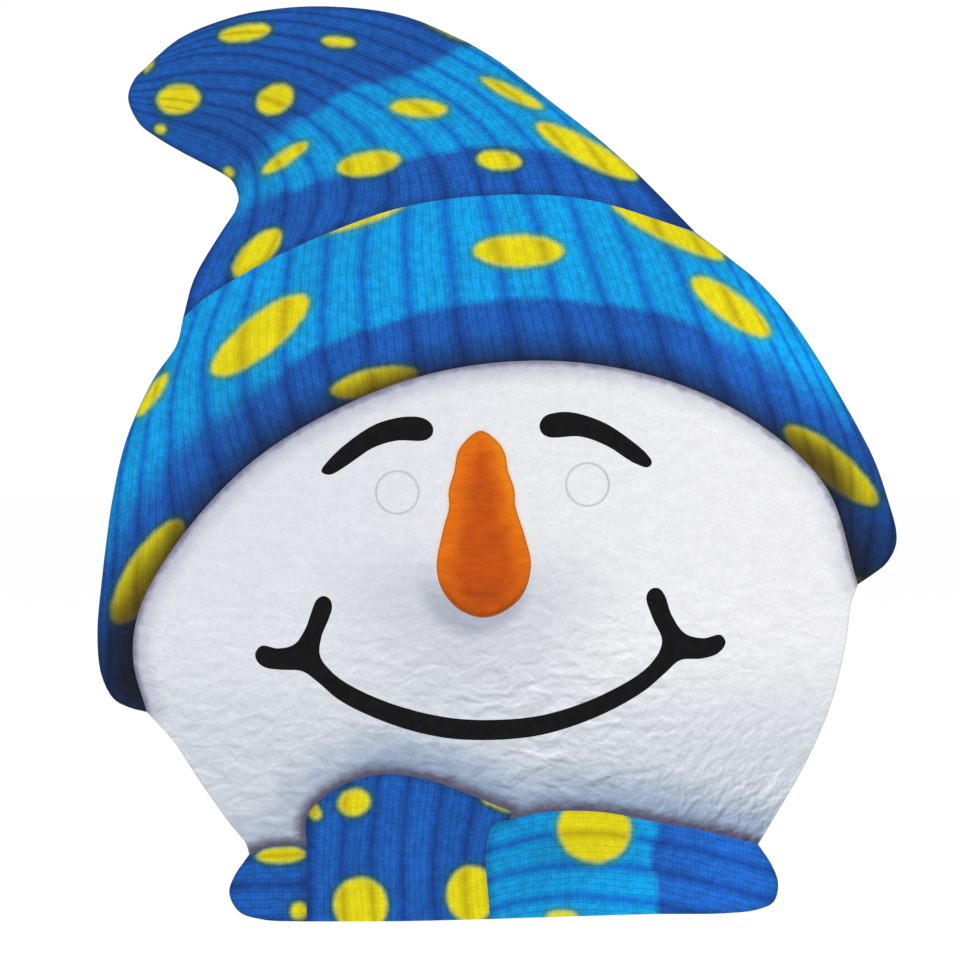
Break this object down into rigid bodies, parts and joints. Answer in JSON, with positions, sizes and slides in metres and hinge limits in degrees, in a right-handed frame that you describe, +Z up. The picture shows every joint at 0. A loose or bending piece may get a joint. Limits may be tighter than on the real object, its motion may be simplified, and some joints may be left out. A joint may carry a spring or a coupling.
{
  "type": "snowman party face mask",
  "caption": "Flat die-cut card face mask of a snowman in a knitted hat and scarf, printed on the front, with punch-out eyes and elastic tabs on the back.",
  "frame": {"origin": "on the back face of the card, midway between the two eyes, where the mask rests against the wearer", "axes": "+Z up, +Y out of the back towards the wearer, so the printed front looks to -Y and +X is its right-hand side seen from the front"},
  "size_m": [0.2649, 0.0009, 0.3033],
  "materials": {
    "board": "uncoated grey-white mask board, bare on the back and the cut edges",
    "knit_dark": "gloss-coated paper printed with dark blue knitting",
    "knit_light": "gloss-coated paper printed with light blue knitting",
    "snow": "gloss-coated paper printed with packed snow",
    "carrot": "gloss-coated paper printed with an orange carrot",
    "ink": "gloss-coated paper printed solid black",
    "tab_paper": "matt self-adhesive paper"
  },
  "bodies": {
    "mask": {"backing_board": "board", "print_hat_tip": "knit_dark", "print_hat_band": "knit_light", "print_hat_crown": "knit_dark", "print_cuff_upper": "knit_light", "print_cuff_lower": "knit_dark", "print_face": "snow", "print_nose": "carrot", "print_brow_left": "ink", "print_brow_right": "ink", "print_smile": "ink", "print_scarf_left": "knit_dark", "print_scarf_knot": "knit_dark", "print_scarf_middle": "knit_light", "print_scarf_right": "knit_dark", "elastic_tab_left": "tab_paper", "elastic_tab_right": "tab_paper"},
    "eye_left": {"eye_disc_left": "board", "print_eye_left": "snow"},
    "eye_right": {"eye_disc_right": "board", "print_eye_right": "snow"}
  },
  "joints": [
    {"name": "eye_left_push_out", "type": "slide", "parent": "mask", "child": "eye_left", "axis": [0, 1, 0], "range_m": [0, 0.02]},
    {"name": "eye_right_push_out", "type": "slide", "parent": "mask", "child": "eye_right", "axis": [0, 1, 0], "range_m": [0, 0.02]}
  ]
}
